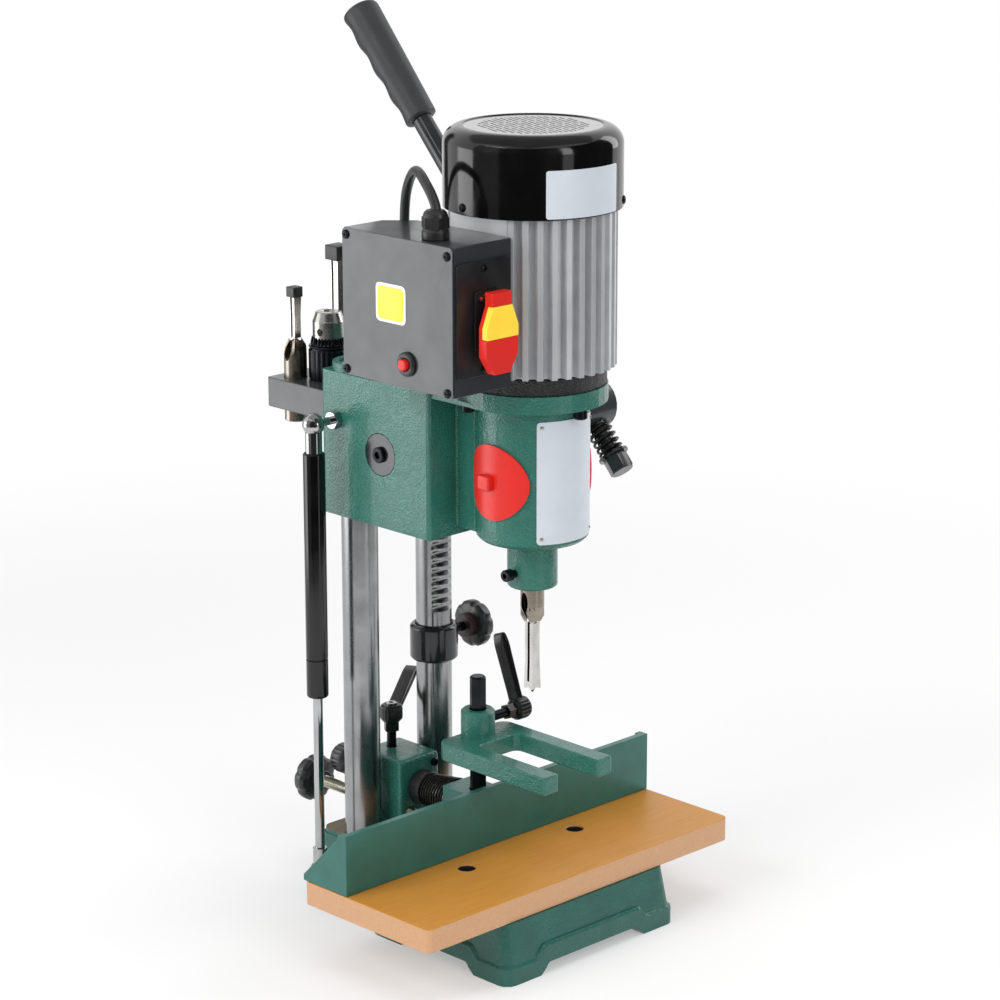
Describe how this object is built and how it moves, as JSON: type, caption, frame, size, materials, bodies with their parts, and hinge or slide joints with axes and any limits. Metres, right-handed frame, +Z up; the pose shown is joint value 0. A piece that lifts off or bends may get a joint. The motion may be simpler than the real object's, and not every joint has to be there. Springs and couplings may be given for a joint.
{
  "type": "hollow chisel mortiser",
  "caption": "Bench mortising machine: a motor head on two columns, lowered by a lever and rack, over a wooden table with a fence and a forked hold-down.",
  "frame": {"origin": "on the bench, under the middle of the outer box of the whole machine, lever included", "axes": "+Z up, -Y towards the user, +X to the user's right"},
  "size_m": [0.3626, 0.4695, 0.7109],
  "materials": {
    "green_enamel": "gloss, orange peel",
    "polished_steel": "polished",
    "turned_steel": "satin",
    "dark_steel": "black oxide",
    "zinc_plate": "zinc plated",
    "chrome": "mirror",
    "cast_aluminium": "satin",
    "motor_iron": "matte",
    "copper_winding": "varnished laminations and windings",
    "black_texture": "matte, textured",
    "black_gloss": "gloss",
    "black_satin": "satin",
    "black_plastic": "satin",
    "grip_rubber": "matte",
    "red_plastic": "gloss",
    "yellow_plastic": "gloss",
    "table_laminate": "laminated board",
    "cable_jacket": "satin",
    "fan_plastic": "satin"
  },
  "bodies": {
    "base": {"base_casting": "green_enamel", "table_board": "table_laminate", "column_plain": "polished_steel", "column_rack": "polished_steel", "fence_bracket": "green_enamel", "bar_bush": "black_satin", "strut_rod": "chrome", "strut_stud_lower": "chrome"},
    "fence": {"fence": "green_enamel", "fence_bar": "zinc_plate", "hold_down_rod": "dark_steel", "fence_spring": "dark_steel"},
    "bar_knob": {"bar_knob": "black_plastic"},
    "adjuster": {"adjusting_screw": "zinc_plate", "adjusting_knob": "black_plastic"},
    "fence_lock": {"fence_lock_lever": "black_plastic"},
    "fork": {"hold_down_fork": "green_enamel"},
    "fork_lever": {"hold_down_lever": "black_plastic"},
    "collar": {"stop_collar": "black_satin"},
    "collar_knob": {"collar_knob": "black_plastic"},
    "head": {"head_casting": "green_enamel", "strut_cylinder": "black_gloss", "strut_stud_upper": "chrome", "chisel": "turned_steel", "motor_end_bell": "black_texture", "motor_housing": "cast_aluminium", "motor_stator": "copper_winding", "motor_rear_bell": "motor_iron", "motor_cap": "black_gloss", "flange_bolt_1": "dark_steel", "flange_bolt_2": "dark_steel", "flange_bolt_3": "dark_steel", "switch_box": "black_satin", "switch_cover": "black_satin", "switch_plate": "black_plastic", "switch_body": "black_plastic", "reset_bezel": "black_plastic", "lead_gland": "black_plastic", "motor_lead": "cable_jacket", "mains_gland": "black_plastic", "shaft_plug": "black_satin", "tool_holder": "black_satin", "spare_chuck": "chrome", "spare_chisel_small": "turned_steel", "spare_chisel_large": "turned_steel"},
    "chisel_screw": {"chisel_screw": "dark_steel"},
    "cover_left": {"access_cover_left": "red_plastic"},
    "cover_right": {"access_cover_right": "red_plastic"},
    "spindle": {"motor_rotor": "motor_iron", "motor_fan": "fan_plastic", "drill_chuck": "chrome", "auger_bit": "turned_steel"},
    "lever": {"pinion_shaft": "turned_steel", "lever_hub": "black_satin", "lever_spring": "dark_steel"},
    "lever_arm": {"lever_arm": "black_satin", "lever_grip": "grip_rubber"},
    "paddle": {"switch_paddle": "red_plastic"},
    "key": {"switch_key": "yellow_plastic"},
    "reset": {"reset_button": "red_plastic"}
  },
  "joints": [
    {"name": "fence_slide", "type": "slide", "parent": "base", "child": "fence", "axis": [0, 1, 0], "range_m": [-0.026, 0.008], "deforming": ["fence_spring"]},
    {"name": "bar_knob_turn", "type": "hinge", "parent": "fence", "child": "bar_knob", "pos_m": [-0.00975, 0.05955, 0.09], "axis": [0, 1, 0], "continuous": true},
    {"name": "adjuster_turn", "type": "hinge", "parent": "base", "child": "adjuster", "pos_m": [-0.02125, 0.02455, 0.0685], "axis": [0, 1, 0], "continuous": true},
    {"name": "fence_lock_swing", "type": "hinge", "parent": "base", "child": "fence_lock", "pos_m": [-0.00975, 0.00154, 0.13], "axis": [0, 0, 1], "range_deg": [0, 120]},
    {"name": "fork_slide", "type": "slide", "parent": "fence", "child": "fork", "axis": [0, 0, 1], "range_m": [-0.019, 0.026]},
    {"name": "fork_lever_swing", "type": "hinge", "parent": "fork", "child": "fork_lever", "pos_m": [0.02625, -0.10296, 0.164], "axis": [1, 0, 0], "range_deg": [-40, 90]},
    {"name": "collar_slide", "type": "slide", "parent": "base", "child": "collar", "axis": [0, 0, 1], "range_m": [-0.05, 0.11]},
    {"name": "collar_knob_turn", "type": "hinge", "parent": "collar", "child": "collar_knob", "pos_m": [0.06475, -0.00745, 0.207], "axis": [1, 0, 0], "continuous": true},
    {"name": "head_slide", "type": "slide", "parent": "base", "child": "head", "axis": [0, 0, 1], "range_m": [-0.1, 0], "stiffness_N_per_m": 600, "springref_m": 0.45},
    {"name": "chisel_screw_turn", "type": "hinge", "parent": "head", "child": "chisel_screw", "pos_m": [-0.03375, -0.16545, 0.307], "axis": [1, 0, 0], "continuous": true},
    {"name": "cover_left_pull", "type": "slide", "parent": "head", "child": "cover_left", "axis": [-1, 0, 0], "range_m": [0, 0.045]},
    {"name": "cover_right_pull", "type": "slide", "parent": "head", "child": "cover_right", "axis": [1, 0, 0], "range_m": [0, 0.045]},
    {"name": "spindle_turn", "type": "hinge", "parent": "head", "child": "spindle", "pos_m": [-0.00975, -0.16545, 0.5], "axis": [0, 0, 1], "continuous": true},
    {"name": "lever_swing", "type": "hinge", "parent": "head", "child": "lever", "pos_m": [0.16225, -0.0562, 0.391], "axis": [1, 0, 0], "range_deg": [0, 158.1]},
    {"name": "lever_pull", "type": "slide", "parent": "lever", "child": "lever_arm", "axis": [0, 0.6691, 0.7431], "range_m": [0, 0.01], "stiffness_N_per_m": 800, "springref_m": -0.02, "deforming": ["lever_spring"]},
    {"name": "paddle_swing", "type": "hinge", "parent": "head", "child": "paddle", "pos_m": [-0.09775, -0.20946, 0.546], "axis": [1, 0, 0], "range_deg": [-14, 0]},
    {"name": "key_pull", "type": "slide", "parent": "paddle", "child": "key", "axis": [0, -1, 0], "range_m": [0, 0.02]},
    {"name": "reset_press", "type": "slide", "parent": "head", "child": "reset", "axis": [1, 0, 0], "range_m": [0, 0.003], "stiffness_N_per_m": 300}
  ],
  "couplings": [
    {"joint": "lever_swing", "follows": "head_slide", "rad_per_m": -27.586}
  ]
}
